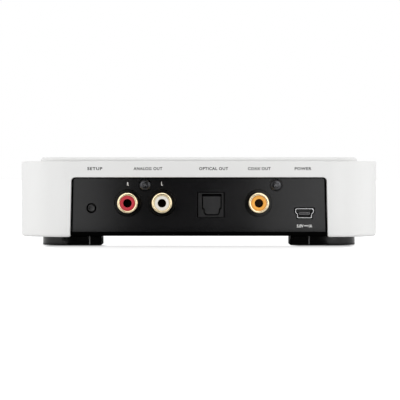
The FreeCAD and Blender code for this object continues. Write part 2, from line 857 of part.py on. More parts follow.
def make_usb_contacts():
    """The contact strips along the underside of the tongue."""
    start = usb_face + tongue_setback + usb_contact_setback
    end = usb_back - tongue_root
    high_z = board_top_z + tongue_low
    low_z = high_z - usb_contact_thickness
    half = usb_contact_width / 2
    strips = []
    for index in range(usb_contact_count):
        x = usb_x + (index - (usb_contact_count - 1) / 2) * usb_contact_pitch
        strips.append(block(x - half, x + half, start, end, low_z, high_z))
    return strips


def make_setup_button():
    """The push button: a round cap in the panel's hole and a flange trapped in the switch."""
    face = panel_recess + button_setback
    cap = rod_y(button_x, button_z, button_radius, face, flange_back)
    cap = cap.makeFillet(button_edge, facing_edges(cap, face))
    flange = rod_y(button_x, button_z, flange_radius, flange_face, flange_back)
    return cap.fuse(flange).removeSplitter()


def make_switch_body():
    """The tactile switch on the board: its chamber holds the button's flange and the dome."""
    back = chamber_end + switch_back_wall
    body_x = (button_x - switch_half_width, button_x + switch_half_width)
    body = block(*body_x, switch_face, back, board_top_z, board_top_z + switch_height)
    return body.cut([
        rod_y(button_x, button_z, button_radius + button_fit, switch_face - overrun, chamber_end),
        rod_y(button_x, button_z, flange_radius + switch_chamber_gap, chamber_face, chamber_end),
    ])


def make_switch_dome():
    """The thin dished disc that springs the button back."""
    seat = Vector(button_x, inward(chamber_end), button_z)
    rise = Vector(0, -dome_thickness, 0)
    towards_button = Vector(0, -1, 0)
    outer = Part.makeCone(dome_radius, dome_tip_radius, dome_crown, seat + rise, towards_button)
    rim = Part.makeCylinder(dome_radius, dome_thickness, seat, towards_button)
    inner = Part.makeCone(dome_radius - dome_thickness, dome_tip_radius, dome_crown, seat, towards_button)
    return outer.fuse(rim).cut(inner)


def make_main_board():
    """The circuit board, with a clear hole over each standoff."""
    edges = (-board_half, board_half, board_rear, board_front)
    board = plate(*edges, board_corner_radius, board_low_z, board_top_z)
    hole_z = (board_low_z - overrun, board_top_z + overrun)
    return board.cut([rod_z(x, depth, clear_hole_radius, *hole_z) for x, depth in standoff_places()])


def package(x, depth, half_width, half_length, low_z, height):
    """A square-edged body that stands on a level, given by its middle and its halves."""
    depths = (depth - half_length, depth + half_length)
    return block(x - half_width, x + half_width, *depths, low_z, low_z + height)


def chip(place, size):
    """A flat package on the board."""
    width, length, height = size
    return package(place[0], board_rear + place[1], width / 2, length / 2, board_top_z, height)


def leaded_chip(place, size):
    """A flat package with a row of leads along its two long sides."""
    x, middle = place[0], board_rear + place[1]
    half_reach = size[0] / 2 + lead_reach
    count = int((size[1] - lead_width) // lead_pitch)
    leads = []
    for index in range(count):
        depth = middle + (index - (count - 1) / 2) * lead_pitch
        leads.append(package(x, depth, half_reach, lead_width / 2, board_top_z, lead_thickness))
    return chip(place, size).fuse(leads).removeSplitter()


def capacitor(place, radius, height):
    """An upright electrolytic capacitor: a can with a rounded top on a square base."""
    x, depth = place[0], board_rear + place[1]
    can = rod_z(x, depth, radius, board_top_z + capacitor_base, board_top_z + height)
    can = can.makeFillet(capacitor_edge, level_edges(can, board_top_z + height))
    base = package(x, depth, radius, radius, board_top_z, capacitor_base)
    return can.fuse(base).removeSplitter()


def make_wifi_board():
    """The radio module's own small board."""
    return chip(wifi_place, wifi_size)


def make_wifi_shield():
    """The pressed screening can over the radio module's parts."""
    x, depth = wifi_place[0], board_rear + wifi_place[1] - shield_offset
    low_z = board_top_z + wifi_size[2]
    half_width, half_length, height = shield_size[0] / 2, shield_size[1] / 2, shield_size[2]
    inner_half_width, inner_half_length = half_width - shield_wall, half_length - shield_wall
    can = package(x, depth, half_width, half_length, low_z, height)
    return can.cut(package(x, depth, inner_half_width, inner_half_length, low_z, height - shield_wall))


def make_status_led():
    """The light source at the board's front edge, its lens towards the front wall."""
    body = package(0, board_front - led_length / 2, led_width / 2, led_length / 2, board_top_z, led_height)
    tip = board_front + led_lens_length
    lens = rod_y(0, light_z, led_lens_radius, board_front - led_length / 2, tip)
    lens = lens.makeFillet(led_lens_edge, facing_edges(lens, tip))
    return body.fuse(lens).removeSplitter()


def make_light_pipe():
    """The clear rod that brings the light to the front face, held by its flange behind the wall."""
    start = board_front + led_lens_length + pipe_gap
    seat = body_depth - wall
    rod = rod_y(0, light_z, pipe_radius, start, body_depth)
    flange = rod_y(0, light_z, pipe_flange_radius, seat - pipe_flange_thickness, seat)
    return rod.fuse(flange).removeSplitter()


def save(name, shapes):
    """Write one node to its own file, as one solid or as a group of separate solids."""
    shape = shapes if isinstance(shapes, Part.Shape) else Part.makeCompound(shapes)
    shape.exportStep(os.path.join("parts", name + ".step"))
    print(name, len(shape.Solids), round(shape.Volume, 2))


os.makedirs("parts", exist_ok=True)
red_x, white_x, orange_x = jack_places()
save("shell", make_shell())
save("top_cover", make_top_cover())
save("base_plate", make_base_plate())
save("rear_panel", make_rear_panel())
save("panel_screws", make_panel_screws())
save("base_screws", make_base_screws())
for foot_end, foot_side, foot_width in (("rear", "left", rear_left_foot_width),
                                        ("rear", "right", rear_right_foot_width),
                                        ("front", "left", front_foot_width),
                                        ("front", "right", front_foot_width)):
    save("foot_" + foot_end + "_" + foot_side, make_foot(foot_end, foot_side, foot_width))
save("analog_jack_housing", make_analog_jack_housing())
save("coax_jack_housing", make_coax_jack_housing())
for jack_name, jack_x in (("red", red_x), ("white", white_x), ("orange", orange_x)):
    save(jack_name + "_jack_sleeve", make_jack_sleeve(jack_x))
    save(jack_name + "_jack_insert", make_jack_insert(jack_x))
save("jack_contacts", [make_jack_contact(jack_x) for jack_x in jack_places()])
save("optical_housing", make_optical_housing())
save("optical_emitter", make_optical_emitter())
save("optical_flap", make_optical_flap())
save("flap_pin", make_flap_pin())
save("flap_spring", make_flap_spring())
save("usb_shell", make_usb_shell())
save("usb_tongue", make_usb_tongue())
save("usb_contacts", make_usb_contacts())
save("setup_button", make_setup_button())
save("switch_body", make_switch_body())
save("switch_dome", make_switch_dome())
save("main_board", make_main_board())
save("board_screws", make_board_screws())
save("wifi_board", make_wifi_board())
save("wifi_shield", make_wifi_shield())
save("processor", chip(processor_place, processor_size))
save("memory_chip", leaded_chip(memory_place, memory_size))
save("dac_chip", leaded_chip(dac_place, dac_size))
save("crystal", chip(crystal_place, crystal_size))
save("inductor", chip(inductor_place, inductor_size))
save("output_capacitors", [capacitor((x, capacitor_row_place), capacitor_radius, capacitor_height)
                           for x in capacitor_row])
save("supply_capacitor", capacitor(supply_capacitor_place, supply_capacitor_radius, supply_capacitor_height))
save("status_led", make_status_led())
save("light_pipe", make_light_pipe())
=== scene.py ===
import bmesh
import bpy
import json
import math
from mathutils import Matrix, Vector


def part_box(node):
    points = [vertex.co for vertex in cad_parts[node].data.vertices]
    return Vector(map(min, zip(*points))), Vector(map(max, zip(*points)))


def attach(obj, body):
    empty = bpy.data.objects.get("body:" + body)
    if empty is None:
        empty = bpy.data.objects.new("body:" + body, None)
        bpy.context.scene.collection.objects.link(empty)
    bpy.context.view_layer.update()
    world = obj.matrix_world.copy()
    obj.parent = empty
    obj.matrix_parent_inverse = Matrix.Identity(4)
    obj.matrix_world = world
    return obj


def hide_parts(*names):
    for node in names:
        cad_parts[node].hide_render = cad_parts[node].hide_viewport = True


# A wireless audio streamer, seen from behind: a white box with a black socket panel.
# Sizes are written in millimetres and turned to metres by MM.
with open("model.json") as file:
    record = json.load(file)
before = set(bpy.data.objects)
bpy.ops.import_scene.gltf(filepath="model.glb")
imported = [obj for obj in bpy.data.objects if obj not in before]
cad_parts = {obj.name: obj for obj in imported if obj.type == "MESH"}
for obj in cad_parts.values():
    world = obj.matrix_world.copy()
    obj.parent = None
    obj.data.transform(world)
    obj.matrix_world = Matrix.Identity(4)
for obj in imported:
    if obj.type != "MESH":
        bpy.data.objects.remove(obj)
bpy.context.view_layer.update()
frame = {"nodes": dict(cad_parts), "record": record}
MM = 0.001

# What the photograph's frame covers at the shell's rear face
PHOTO_PIXELS = 400
MM_PER_PIXEL = 0.3965
EYE_HEIGHT = 33.3
EYE_ACROSS = -2.0
EYE_DISTANCE = 1150.0
AIM_ACROSS = 0.4
AIM_HEIGHT = 18.2
SENSOR = 36.0

# Even light from all round, weaker from above
AMBIENT_LOW = 0.69
AMBIENT_HIGH = 0.43

# The floor is plain white, apart from a strip before the rear face where its white is lowered: a painted
# shadow, under which the real shade also shows. Its reaches are in mm from that face, a painted contact
# shadow lies along the feet, and the strip's ends soften and spread away from the face. The floor itself
# reaches this many metres each way.
FLOOR_REACH = 4.0
FLOOR_WHITE = 0.45
FLOOR_SHADED = 0.5
SHADOW_NEAR = 20
SHADOW_FAR = 150
PAINTED_CONTACT_SHADOW_REACH = 19
SHADOW_SOFTNESS = 3
SHADOW_SPREAD = 70

# Bodies that the pieces ride on
CASE_BODY = "body"
BUTTON_BODY = "button"
FLAP_BODY = "flap"

# Places read from the frame, in mm
REAR_Y = (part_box("shell")[0] / MM).y
PANEL_Y = (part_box("rear_panel")[0] / MM).y
FOOT_LOW, FOOT_HIGH = (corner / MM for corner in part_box("foot_rear_right"))

# How wide the edges of moulded, small and pressed parts, the feet and the USB tongue are rounded
MOULDED_EDGE = 0.2
FINE_EDGE = 0.12
PRESSED_EDGE = 0.08
FOOT_EDGE = 0.03
TONGUE_EDGE = 0.36

# The tongue's edges are rounded this near to its rear end, where faces between two slants carry a painted
# highlight
TONGUE_TIP = 0.1
FLAT_TO_REAR = -0.99
SLANTED_TO_REAR = -0.1

# How deep behind the panel's face it and the optical socket keep their finish before painted shade starts,
# and the length of a foot's inner end in painted shade
POLISHED_DEPTH = 0.5
SOCKET_RIM_DEPTH = 0.6
FOOT_END = 0.6

# Angles over which an edge is rounded, is left sharp and is kept at all, and the gap that is closed
SHARP_ANGLE = math.radians(50)
SMOOTH_ANGLE = math.radians(38)
FLAT_ANGLE = math.radians(0.4)
SEAM = 0.001

# How finely round forms are cut: an edge, a lip's corner, a turned part and a screw
EDGE_SEGMENTS = 3
LIP_SEGMENTS = 6
TURNED_STEPS = 72
SCREW_STEPS = 48
ROUND_PROFILE = 0.5

# Places in a piece's list of materials
SECOND_FINISH = 1
RECESS_WALL = 1
RECESS_FLOOR = 2

# Where most of a noise's values lie, and the detail of a finish's drift and grain
NOISE_LOW = 0.3
NOISE_HIGH = 0.7
DRIFT_DETAIL = 3.0
GRAIN_DETAIL = 2.0

# Phono jacks, in mm from the tip of the sleeve
SLEEVE_INNER = 2.99
SLEEVE_LIP_OUTSIDE = 0.55
SLEEVE_LIP_INSIDE = 0.5
SLEEVE_SHOULDER = 0.25
SLEEVE_COLLAR = 8.7
SLEEVE_TAIL_EDGE = 0.1
INSERT_BORE = 1.7
INSERT_MOUTH = 0.22
INSERT_EDGE = 0.18
CONTACT_START = 4.5
CONTACT_END = 10.35
CONTACT_BORE = 1.99
TAIL_BORE = 0.54

# Screws, and the degrees by which each stands turned
HEAD_RADIUS = 2.35
HEAD_HEIGHT = 1.6
HEAD_CROWN = 0.28
HEAD_SHOULDER = 0.75
HEAD_RIM_EDGE = 0.08
SHANK_RADIUS = 1.45
SHANK_EDGE = 0.3
POINT_LENGTH = 1.0
POINT_EDGE = 0.1
LEFT_SCREW_TURN = 28
RIGHT_SCREW_TURN = 52
BASE_SCREW_TURN = 20
BASE_SCREW_TURN_STEP = 35
RECESS_LENGTH = 2.9
RECESS_WIDTH = 0.72
RECESS_DEPTH = 1.15
RECESS_TAPER = 0.6
RECESS_RIM = 0.2

# Printed letters: how much their strokes are thickened, how far the shell's letters are spread, and
# how far the ink stands out
LIGHT_STROKES = 0.03
BOLD_STROKES = 0.03
OPEN_SPACING = 1.15
INK_HEIGHT = 0.01
SHELL_WORD_HEIGHT = 30.65
SHELL_WORD_CAP = 1.2

# The sign for direct current on the panel: a bar over three dashes
SIGN_START = 41.9
SIGN_END = 43.6
BAR_LOW = 7.85
BAR_HIGH = 8.08
DASHES = 3
DASH_LOW = 7.5
DASH_HIGH = 7.6
DASH_LENGTH = 0.42
DASH_PITCH = 0.625

# A raised mould line down the rear face of each rear foot, pale as a painted highlight: its places across and
# its size
MOULD_LINES = {"left": -43.65, "right": 44.0}
MOULD_LINE_WIDTH = 0.45
MOULD_LINE_HEIGHT = 0.05
MOULD_LINE_START = 0.3
MOULD_LINE_EDGE = 0.04

# Setup button
BUTTON_FACE_RADIUS = 1.48
BUTTON_DISH = 0.08
BUTTON_EDGE = 0.28
BUTTON_FACE_DROP = 0.02
BUTTON_SOFT_EDGE = 0.05
BUTTON_FLANGE = 0.6

# Dark cards: a strip before the rear feet with a grey end, one on the ground and two by the camera.
# Reaches along y are from the rear face.
CARD_LOW = 0.1
STRIP_END = -64
STRIP_LEFT = -53
STRIP_RIGHT = 52
STRIP_NEAR = 8.5
STRIP_FAR = 9
STRIP_TOP = 5.2
GROUND_BEHIND = 10
GROUND_TOP = 0.2
PATH_LEFT = -40
PATH_RIGHT = 26
PATH_NEAR = 45
PATH_FAR = 120
PATH_TOP = 0.3
CAMERA_CARD_THICKNESS = 1
CAMERA_CARD_TOP = 110

# Lamps: widths, heights, places and what they are aimed at. Radiance is 1 where it shows as white,
# and the lean makes one side stronger than the other.
LAMP_AIM_HEIGHT = 20
FRONT_LAMP_SIZE = (200, 220)
FRONT_LAMP_ACROSS = 162
FRONT_LAMP_BEFORE = 330
FRONT_LAMP_HEIGHT = 110
FRONT_AIM_ACROSS = 40
FRONT_RADIANCE = 1.38
FRONT_LEAN = 0.34
SIDE_LAMP_SIZE = (300, 260)
SIDE_LAMP_ACROSS = 420
SIDE_LAMP_Y = -60
SIDE_LAMP_HEIGHT = 140
SIDE_AIM_ACROSS = 60
SIDE_AIM_Y = -20
SIDE_RADIANCE = 2.05
SIDE_LEAN = 0.15
TOP_LAMP_SIZE = (450, 300)
TOP_LAMP_PLACE = (0, -40, 600)
TOP_LAMP_AIM = (0, 0, 0)
TOP_RADIANCE = 2.0


def linear(hex_code):
    """An sRGB hex colour as the linear values that a shader takes."""
    values = [int(hex_code[place:place + 2], 16) / 255 for place in (1, 3, 5)]
    return [v / 12.92 if v <= 0.04045 else ((v + 0.055) / 1.055) ** 2.4 for v in values] + [1.0]


def add(tree, kind, feeds=None, **settings):
    """Add a shader node. Feeds gives a socket its value, or the output that it is linked to."""
    node = tree.nodes.new("ShaderNode" + kind)
    for name, value in settings.items():
        setattr(node, name, value)
    for name, value in (feeds or {}).items():
        if isinstance(value, bpy.types.NodeSocket):
            tree.links.new(value, node.inputs[name])
        else:
            node.inputs[name].default_value = value
    return node


def material(name):
    """A new material with an empty tree and its output node."""
    made = bpy.data.materials.new(name)
    made.use_nodes = True
    made.node_tree.nodes.clear()
    output = add(made.node_tree, "OutputMaterial")
    return made, made.node_tree, output


def finish(name, shades, patch, roughness, rough_swing, grain, depth, stretch=(1, 1, 1), **constants):
    """A moulded, plated or pressed surface.

    Its colour drifts between two shades over patches of a size in mm, its roughness swings with
    the same drift, and a fine grain of a size and depth in mm lies on it.
    """
    made, tree, output = material(name)
    place = add(tree, "TexCoord").outputs["Object"]
    place = add(tree, "Mapping", {"Vector": place, "Scale": [1 / s for s in stretch]}).outputs["Vector"]
    drift = add(tree, "TexNoise", {"Vector": place, "Scale": 1 / (patch * MM), "Detail": DRIFT_DETAIL})
    colour = add(tree, "Mix", {"Factor": drift.outputs["Fac"]}, data_type="RGBA")
    colour.inputs[6].default_value = linear(shades[0])
    colour.inputs[7].default_value = linear(shades[1])
    rough = add(tree, "MapRange", {
        "Value": drift.outputs["Fac"], "From Min": NOISE_LOW, "From Max": NOISE_HIGH,
        "To Min": roughness - rough_swing, "To Max": roughness + rough_swing})
    fine = add(tree, "TexNoise", {"Vector": place, "Scale": 1 / (grain * MM), "Detail": GRAIN_DETAIL})
    bump = add(tree, "Bump", {"Height": fine.outputs["Fac"], "Distance": depth * MM, "Strength": 1.0})
    feeds = {
        "Base Color": colour.outputs[2], "Roughness": rough.outputs["Result"],
        "Normal": bump.outputs["Normal"]}
    feeds.update({key.replace("_", " "): value for key, value in constants.items()})
    shader = add(tree, "BsdfPrincipled", feeds)
    tree.links.new(shader.outputs["BSDF"], output.inputs["Surface"])
    return made


# Glossy white ABS, injection moulded and polished: soft reflections over a faint orange peel
white_abs = finish("white_moulded_abs", ("#e6e6e5", "#e3e3e2"), 35, 0.30, 0.02, 1.6, 0.004)
# Black ABS moulded in a spark-eroded tool: a fine matt grain that greys where light rakes it
black_abs = finish("black_textured_abs", ("#08080a", "#0b0b0d"), 18, 0.23, 0.02, 0.45, 0.004)
# Black ABS of the base, moulded without polish and made near black with almost no reflection: partly its own
# colour, partly painted shade on the band under the panel. It also serves as painted shade behind the panel's
# and the optical socket's faces and on the feet's inner ends
dull_black_abs_and_painted_shade = finish("black_dull_abs_and_painted_shade", ("#020202", "#030303"), 12, 0.34, 0.03, 0.5, 0.006,
                  Specular_IOR_Level=0.02)
# Black glass-filled nylon of the sockets: smoother than the panel
black_nylon = finish("black_moulded_nylon", ("#050505", "#080808"), 6, 0.17, 0.02, 0.3, 0.002)
# The same nylon of the optical socket, from a matt mould: greyer and softer
matt_nylon = finish("black_matt_moulded_nylon", ("#0c0c0d", "#101011"), 4, 0.36, 0.03, 0.3, 0.004)
# The nylon of the USB tongue: greyer than the sockets, with a fine grain
tongue_nylon = finish("grey_moulded_nylon_tongue", ("#19191a", "#202022"), 2, 0.30, 0.03, 0.25, 0.003)
# The slanted edges of the tongue, made pale: a painted highlight along them
tongue_edge_painted_highlight = finish("nylon_tongue_edge_painted_highlight", ("#6c6c6e", "#79797b"), 1, 0.40, 0.04, 0.25, 0.003)
# The sockets' nylon with fine upright marks, on the flap that plugs rub against
rubbed_nylon = finish("black_rubbed_nylon", ("#111112", "#18181a"), 1.5, 0.42, 0.05, 0.25, 0.006,
                      stretch=(1, 1, 12))
# Hard black rubber of the feet
foot_rubber = finish("moulded_black_rubber", ("#020202", "#040404"), 5, 0.17, 0.02, 0.35, 0.004,
                     Specular_IOR_Level=0.45)
# The rubber where the two halves of its mould met, made pale: a painted highlight down each rear foot
mould_line_painted_highlight = finish("rubber_mould_line_painted_highlight", ("#606061", "#69696a"), 1, 0.36, 0.04, 0.25, 0.003)
# Gold plating on turned brass: pale and bright, with fine rings left by the tool
gold_plate = finish("gold_plated_turned_brass", ("#fff0cd", "#ffe7b6"), 2, 0.24, 0.04, 0.12, 0.0015,
                    stretch=(30, 1, 30), Metallic=1.0)
# Coloured polypropylene of the jack inserts
red_insert_plastic = finish("red_moulded_insert", ("#c8303e", "#bd2738"), 2, 0.34, 0.04, 0.2, 0.003)
white_insert_plastic = finish("white_moulded_insert", ("#efece4", "#e9e6de"), 2, 0.34, 0.04, 0.2, 0.003)
orange_insert_plastic = finish("orange_moulded_insert", ("#f7b34c", "#f0a83e"), 2, 0.34, 0.04, 0.2, 0.003)
# Bright nickel on drawn steel
nickel_plate = finish("nickel_plated_steel", ("#e2e2e3", "#d4d4d6"), 1.5, 0.24, 0.05, 0.2, 0.002,
                      Metallic=1.0)
# The same plating inside the socket and on its contacts, made dark: painted shade in the socket
nickel_in_painted_shade = finish("nickel_plate_painted_shade", ("#4a4a4b", "#3c3c3e"), 1.5, 0.45, 0.05, 0.2, 0.003,
                           Metallic=1.0)
# Black zinc plated steel of the panel and base screws
black_zinc = finish("black_zinc_plated_steel", ("#404042", "#4a4a4c"), 1.2, 0.28, 0.05, 0.25, 0.003,
                    Metallic=1.0)
# The same plating on the walls of the driver's cross, made near black: painted shade in the recess
zinc_recess_painted_shade = finish("black_zinc_recess_painted_shade", ("#060606", "#0a0a0a"), 1.2, 0.55, 0.05, 0.25, 0.003,
                     Metallic=1.0)
# The floor of the cross, rubbed by the driver's tip and made pale: a painted glint
zinc_rubbed_and_painted_glint = finish("black_zinc_rubbed_and_painted_glint", ("#8c8c8e", "#77777a"), 0.8, 0.45, 0.05, 0.2, 0.003,
                     Metallic=1.0)
# Blackened spring steel of the flap's pin and spring: dark, with a dull sheen
blackened_steel = finish("blackened_spring_steel", ("#121213", "#19191a"), 1.5, 0.42, 0.05, 0.2, 0.003,
                         Metallic=1.0)
# Clear zinc plated steel of the board's screws
bright_zinc = finish("zinc_plated_steel", ("#b9bcc0", "#a3a6aa"), 1.5, 0.32, 0.06, 0.2, 0.003, Metallic=1.0)
# Spring bronze strip of the contacts, made very dark: painted shade down the jacks' bores
bronze_strip_painted_shade = finish("rolled_spring_bronze_painted_shade", ("#352a1e", "#2a2118"), 1.5, 0.12, 0.03, 0.2, 0.001,
                      stretch=(1, 8, 1), Metallic=1.0)
# Glass epoxy board under green solder mask
solder_mask = finish("green_solder_mask_board", ("#0f4a2b", "#0b3d24"), 4, 0.38, 0.05, 0.5, 0.01)
# Transfer moulded epoxy of the chips
chip_epoxy = finish("moulded_chip_epoxy", ("#1a1a1b", "#202021"), 3, 0.62, 0.05, 0.15, 0.006)
# Tinned steel of the screening can and the crystal's case
tinned_steel = finish("tinned_sheet_steel", ("#c9cacb", "#b4b6b8"), 3, 0.34, 0.06, 0.3, 0.003,
                      stretch=(1, 6, 1), Metallic=1.0)
# Drawn aluminium cans of the capacitors
can_aluminium = finish("drawn_aluminium_can", ("#d2d4d8", "#bec1c6"), 2, 0.30, 0.05, 0.2, 0.003,
                       stretch=(1, 1, 6), Metallic=1.0)
# Clear acrylic of the light pipe and lens
clear_acrylic = finish("clear_moulded_acrylic", ("#f4f6f8", "#eceff2"), 4, 0.10, 0.03, 0.6, 0.002,
                       Transmission_Weight=1.0, IOR=1.49)
# Printing inks of the labels
grey_ink = finish("grey_pad_printing_ink", ("#121213", "#18181a"), 1, 0.5, 0.04, 0.15, 0.002)
white_ink = finish("white_screen_printing_ink", ("#f0f0ee", "#e8e8e6"), 1, 0.5, 0.04, 0.15, 0.002)

FINISHES = {
    "white_shell_plastic": white_abs, "black_plastic": black_abs, "black_socket_plastic": black_nylon,
    "black_screw": black_zinc, "zinc_screw": bright_zinc, "foot_rubber": foot_rubber,
    "gold_plating": gold_plate, "red_plastic": red_insert_plastic, "white_plastic": white_insert_plastic,
    "orange_plastic": orange_insert_plastic, "contact_bronze": bronze_strip_painted_shade, "nickel_plating": nickel_plate,
    "circuit_board": solder_mask, "chip_epoxy": chip_epoxy, "screening_steel": tinned_steel,
    "capacitor_can": can_aluminium, "clear_acrylic": clear_acrylic,
}
SLOTS = {part["node"]: part["material_slot"] for part in frame["record"]["subparts"]}
# The USB contacts take the nickel in painted shade, and the base and switch body the black ABS that also
# serves as painted shade
OWN_FINISHES = {"base_plate": dull_black_abs_and_painted_shade, "switch_body": dull_black_abs_and_painted_shade, "optical_housing": matt_nylon,
                "optical_flap": rubbed_nylon, "flap_pin": blackened_steel, "flap_spring": blackened_steel,
                "usb_tongue": tongue_nylon, "usb_contacts": nickel_in_painted_shade}


def node_finish(node):
    """The material of a CAD node: its own, or else its slot's."""
    return OWN_FINISHES.get(node) or FINISHES[SLOTS[node]]


def dress_frame():
    """Give every CAD node its material."""
    for name, node in frame["nodes"].items():
        slots = node.data.materials
        for index in range(len(slots)):
            slots[index] = node_finish(name)


def placed(name, mesh, look, body):
    """Put a finished mesh into the scene, on the body that it moves with."""
    piece = bpy.data.objects.new(name, mesh)
    bpy.context.scene.collection.objects.link(piece)
    mesh.materials.clear()
    mesh.materials.append(look)
    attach(piece, body)
    return piece


def closed_mesh(name, shape):
    """Turn a bmesh into a mesh that is smooth up to a set angle."""
    mesh = bpy.data.meshes.new(name)
    shape.to_mesh(mesh)
    shape.free()
    mesh.shade_smooth()
    mesh.set_sharp_from_angle(angle=SMOOTH_ANGLE)
    return mesh


def keep_flats_flat(piece):
    """Let large faces set the shading, so that only rounded edges catch a gradient."""
    modifier = piece.modifiers.new("flat_faces", "WEIGHTED_NORMAL")
    modifier.keep_sharp = True


def eased(node, edge, body=CASE_BODY, reach=math.inf):
    """Replace a CAD node by a copy that is smoothly shaded, its sharp edges rounded by a width in mm.

    Only edges that lie within a reach of its rear end, in mm, are rounded.
    """
    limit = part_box(node)[0].y + reach * MM
    shape = bmesh.new()
    shape.from_mesh(frame["nodes"][node].data)
    bmesh.ops.remove_doubles(shape, verts=shape.verts, dist=SEAM * MM)
    bmesh.ops.dissolve_limit(shape, angle_limit=FLAT_ANGLE, verts=shape.verts, edges=shape.edges)
    if edge:
        near = [e for e in shape.edges if max(v.co.y for v in e.verts) < limit]
        sharp = [e for e in near if len(e.link_faces) == 2 and e.calc_face_angle() > SHARP_ANGLE]
        bmesh.ops.bevel(shape, geom=sharp, offset=edge * MM, offset_type="OFFSET", affect="EDGES",
                        segments=EDGE_SEGMENTS, profile=ROUND_PROFILE, material=-1, clamp_overlap=True)
    piece = placed(node + "_finished", closed_mesh(node, shape), node_finish(node), body)
    keep_flats_flat(piece)
    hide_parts(node)
    return piece


def painted_shade_behind(piece, plane, look):
    """Give the faces behind a plane, at a y in mm, a darker second finish as painted shade: only the front
    keeps its own finish.
    """
    piece.data.materials.append(look)
    for face in piece.data.polygons:
        if face.center.y > plane * MM:
            face.material_index = SECOND_FINISH


def painted_shade_on_inner_end(piece, node, look):
    """Give the end of a foot that looks to the middle a darker, dull finish: painted shade."""
    low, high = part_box(node)
    inner = min(abs(low.x), abs(high.x)) + FOOT_END * MM
    piece.data.materials.append(look)
    for face in piece.data.polygons:
        if abs(face.center.x) < inner:
            face.material_index = SECOND_FINISH


def painted_highlight_on_edges(piece, look):
    """Give the slanted faces at the rear end of a piece a pale finish: a painted highlight on its edges."""
    piece.data.materials.append(look)
    for face in piece.data.polygons:
        if FLAT_TO_REAR < face.normal.y < SLANTED_TO_REAR:
            face.material_index = SECOND_FINISH


def turned_shape(corners, closed, steps=TURNED_STEPS):
    """Spin a profile of (radius, depth, rounding) corners about +Y, which depth runs along."""
    shape = bmesh.new()
    points = [shape.verts.new((radius * MM, depth * MM, 0)) for radius, depth, rounding in corners]
    for index in range(len(points) if closed else len(points) - 1):
        shape.edges.new((points[index], points[(index + 1) % len(points)]))
    for point, (radius, depth, rounding) in zip(points, corners):
        if rounding:
            bmesh.ops.bevel(shape, geom=[point], offset=rounding * MM, offset_type="OFFSET",
                            affect="VERTICES", segments=LIP_SEGMENTS, profile=ROUND_PROFILE, material=-1)
    bmesh.ops.spin(shape, geom=shape.verts[:] + shape.edges[:], cent=(0, 0, 0), axis=(0, 1, 0),
                   angle=2 * math.pi, steps=steps, use_merge=True)
    bmesh.ops.remove_doubles(shape, verts=shape.verts, dist=SEAM * MM)
    bmesh.ops.recalc_face_normals(shape, faces=shape.faces)
    return shape


def turned(name, corners, place, node, body=CASE_BODY, closed=True):
    """A turned piece in place of a CAD node, its start at a place in mm."""
    shape = turned_shape(corners, closed)
    bmesh.ops.translate(shape, verts=shape.verts, vec=Vector(place) * MM)
    piece = placed(name, closed_mesh(name, shape), node_finish(node), body)
    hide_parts(node)
    return piece


def make_jack(colour):
    """A phono jack: its sleeve with a full round lip, and the coloured insert bored for the plug."""
    low, high = (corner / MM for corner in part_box(colour + "_jack_sleeve"))
    centre = (low + high) / 2
    outer = (high.x - low.x) / 2
    tail = outer - SLEEVE_SHOULDER
    length = high.y - low.y
    sleeve = (
        (outer, 0, SLEEVE_LIP_OUTSIDE), (outer, SLEEVE_COLLAR, 0), (tail, SLEEVE_COLLAR, 0),
        (tail, length, SLEEVE_TAIL_EDGE), (SLEEVE_INNER, length, SLEEVE_TAIL_EDGE),
        (SLEEVE_INNER, 0, SLEEVE_LIP_INSIDE),
    )
    turned(colour + "_sleeve_turned", sleeve, (centre.x, low.y, centre.z), colour + "_jack_sleeve")
    tip, back = (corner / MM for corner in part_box(colour + "_jack_insert"))
    radius = (back.x - tip.x) / 2
    depth = back.y - tip.y
    insert = (
        (radius, 0, INSERT_EDGE), (radius, depth, 0), (TAIL_BORE, depth, 0), (TAIL_BORE, CONTACT_END, 0),
        (CONTACT_BORE, CONTACT_END, 0), (CONTACT_BORE, CONTACT_START, 0), (INSERT_BORE, CONTACT_START, 0),
        (INSERT_BORE, 0, INSERT_MOUTH),
    )
    turned(colour + "_insert_moulded", insert, (centre.x, tip.y, centre.z), colour + "_jack_insert")


def make_button():
    """The setup button: a lightly dished cap with a soft edge, and the flange behind it."""
    low, high = (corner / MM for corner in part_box("setup_button"))
    centre = (low + high) / 2
    depth = high.y - low.y
    flange = (high.x - low.x) / 2
    flange_face = depth - BUTTON_FLANGE
    cap = (
        (0, BUTTON_DISH, 0), (BUTTON_FACE_RADIUS - BUTTON_EDGE, 0, BUTTON_SOFT_EDGE),
        (BUTTON_FACE_RADIUS, BUTTON_FACE_DROP, BUTTON_EDGE - BUTTON_SOFT_EDGE),
        (BUTTON_FACE_RADIUS, flange_face, 0), (flange, flange_face, BUTTON_SOFT_EDGE),
        (flange, depth, BUTTON_SOFT_EDGE), (0, depth, 0),
    )
    turned("setup_button_cap", cap, (centre.x, low.y, centre.z), "setup_button", BUTTON_BODY, closed=False)


